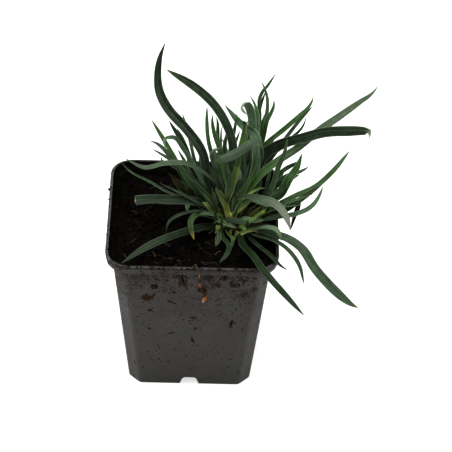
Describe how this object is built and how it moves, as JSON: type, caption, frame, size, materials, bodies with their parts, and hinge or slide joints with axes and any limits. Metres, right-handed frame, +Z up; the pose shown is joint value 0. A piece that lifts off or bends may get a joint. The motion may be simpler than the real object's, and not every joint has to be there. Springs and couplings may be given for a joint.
{
  "type": "potted dianthus plant",
  "caption": "Young dianthus with narrow grey-green leaves on short shoots, growing off-centre in a square tapered nursery pot filled with dark potting soil.",
  "frame": {"origin": "middle of the pot's flat foot, on the surface that it stands on", "axes": "+Z up, -Y towards the plant's front, +X to the side that the plant leans out to"},
  "size_m": [0.14, 0.107, 0.1877],
  "materials": {
    "pot_plastic": "dark warm grey polypropylene, semi-matte, dusty, with specks and smears of dried soil",
    "soil": "moist dark peat with bark fibres, crumbs and straws",
    "shoots": "short shoots, yellow-green at the leaf nodes, brown and dry at the crown",
    "leaf": "blue-green with a waxy bloom, paler at the edges, yellow-green at the base",
    "leaf_dry": "old withered leaf, dull brown-purple",
    "root": "dry orange-brown root fibre"
  },
  "bodies": {
    "root": {"crown_with_shoots": "shoots", "leaf_a1": "leaf", "leaf_a2": "leaf", "leaf_a3": "leaf", "leaf_a4": "leaf", "leaf_a5": "leaf", "leaf_a6": "leaf", "leaf_a7": "leaf", "leaf_b1": "leaf", "leaf_b2": "leaf", "leaf_c1": "leaf", "leaf_c2": "leaf", "leaf_c3": "leaf", "leaf_c4": "leaf", "leaf_d1": "leaf", "leaf_d2": "leaf", "leaf_d3": "leaf", "leaf_d4": "leaf", "leaf_d5": "leaf", "leaf_e1": "leaf", "leaf_e2": "leaf", "leaf_e3": "leaf", "leaf_e4": "leaf", "leaf_f1": "leaf", "leaf_f2": "leaf", "leaf_f3": "leaf", "leaf_f4": "leaf", "leaf_g1": "leaf_dry", "leaf_g2": "leaf", "leaf_g3": "leaf", "leaf_g4": "leaf", "leaf_g5": "leaf", "leaf_h1": "leaf", "leaf_h2": "leaf", "leaf_h3": "leaf", "leaf_h4": "leaf", "leaf_h5": "leaf", "leaf_h6": "leaf", "leaf_i1": "leaf", "leaf_i2": "leaf", "leaf_i3": "leaf", "leaf_i4": "leaf", "leaf_j1": "leaf", "leaf_j2": "leaf", "leaf_j3": "leaf", "leaf_j4": "leaf", "leaf_k1": "leaf", "leaf_k2": "leaf", "leaf_k3": "leaf", "leaf_k4": "leaf", "leaf_k5": "leaf", "leaf_l1": "leaf", "leaf_l2": "leaf", "leaf_l3": "leaf", "leaf_l4": "leaf", "leaf_l5": "leaf", "loose_root": "root", "pot": "pot_plastic", "potting_soil": "soil"}
  },
  "joints": []
}
